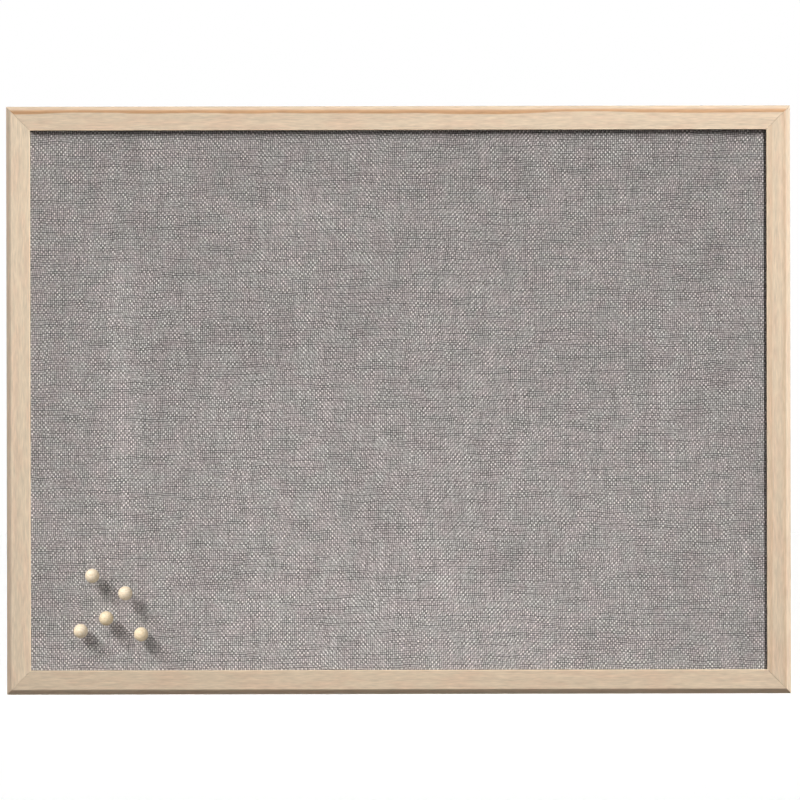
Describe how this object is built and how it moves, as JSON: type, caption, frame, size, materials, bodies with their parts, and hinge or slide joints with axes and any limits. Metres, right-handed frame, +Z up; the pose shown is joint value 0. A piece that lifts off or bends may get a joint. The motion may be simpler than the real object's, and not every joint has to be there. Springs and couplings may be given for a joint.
{
  "type": "pin board",
  "caption": "Wall-hung pin board: grey woven fabric over a soft core, held in a chamfered and mitred pine frame, with wooden ball pins that pull out and hanger rings that swing.",
  "frame": {"origin": "on the back plane of the frame, midway between the two wall hooks, at the height where the hooks carry the hanger rings", "axes": "+X to the right along the width as seen from the front, +Y back into the wall, +Z up"},
  "size_m": [0.8, 0.0435, 0.6],
  "materials": {
    "pine": "matte",
    "ball_wood": "satin",
    "grey_fabric": "matte",
    "softboard": "matte",
    "hardboard": "matte",
    "plain_steel": "satin",
    "zinc_steel": "satin",
    "needle_steel": "polished"
  },
  "bodies": {
    "board": {"rail_top": "pine", "rail_right": "pine", "rail_bottom": "pine", "rail_left": "pine", "corner_nail_top_right_1": "plain_steel", "corner_nail_top_right_2": "plain_steel", "corner_nail_bottom_right_1": "plain_steel", "corner_nail_bottom_right_2": "plain_steel", "corner_nail_bottom_left_1": "plain_steel", "corner_nail_bottom_left_2": "plain_steel", "corner_nail_top_left_1": "plain_steel", "corner_nail_top_left_2": "plain_steel", "retaining_point_top_1": "plain_steel", "retaining_point_top_2": "plain_steel", "retaining_point_top_3": "plain_steel", "retaining_point_top_4": "plain_steel", "retaining_point_right_1": "plain_steel", "retaining_point_right_2": "plain_steel", "retaining_point_right_3": "plain_steel", "retaining_point_bottom_1": "plain_steel", "retaining_point_bottom_2": "plain_steel", "retaining_point_bottom_3": "plain_steel", "retaining_point_bottom_4": "plain_steel", "retaining_point_left_1": "plain_steel", "retaining_point_left_2": "plain_steel", "retaining_point_left_3": "plain_steel", "fabric_cover": "grey_fabric", "pinning_core": "softboard", "back_panel": "hardboard", "hanger_strap_left": "zinc_steel", "hanger_screw_left": "zinc_steel", "hanger_strap_right": "zinc_steel", "hanger_screw_right": "zinc_steel"},
    "ring_left": {"hanger_ring_left": "zinc_steel"},
    "ring_right": {"hanger_ring_right": "zinc_steel"},
    "pin_1": {"pin_head_1": "ball_wood", "pin_needle_1": "needle_steel"},
    "pin_2": {"pin_head_2": "ball_wood", "pin_needle_2": "needle_steel"},
    "pin_3": {"pin_head_3": "ball_wood", "pin_needle_3": "needle_steel"},
    "pin_4": {"pin_head_4": "ball_wood", "pin_needle_4": "needle_steel"},
    "pin_5": {"pin_head_5": "ball_wood", "pin_needle_5": "needle_steel"}
  },
  "joints": [
    {"name": "ring_left_swing", "type": "hinge", "parent": "board", "child": "ring_left", "pos_m": [-0.3915, 0.00225, -0.011], "axis": [-1, 0, 0], "range_deg": [0, 178]},
    {"name": "ring_right_swing", "type": "hinge", "parent": "board", "child": "ring_right", "pos_m": [0.3915, 0.00225, -0.011], "axis": [-1, 0, 0], "range_deg": [0, 178]},
    {"name": "pin_1_pull", "type": "slide", "parent": "board", "child": "pin_1", "axis": [0, -1, 0], "range_m": [-0.0057, 0.016]},
    {"name": "pin_2_pull", "type": "slide", "parent": "board", "child": "pin_2", "axis": [0, -1, 0], "range_m": [-0.0071, 0.016]},
    {"name": "pin_3_pull", "type": "slide", "parent": "board", "child": "pin_3", "axis": [0, -1, 0], "range_m": [-0.0045, 0.016]},
    {"name": "pin_4_pull", "type": "slide", "parent": "board", "child": "pin_4", "axis": [0, -1, 0], "range_m": [-0.0029, 0.016]},
    {"name": "pin_5_pull", "type": "slide", "parent": "board", "child": "pin_5", "axis": [0, -1, 0], "range_m": [-0.0027, 0.016]}
  ]
}
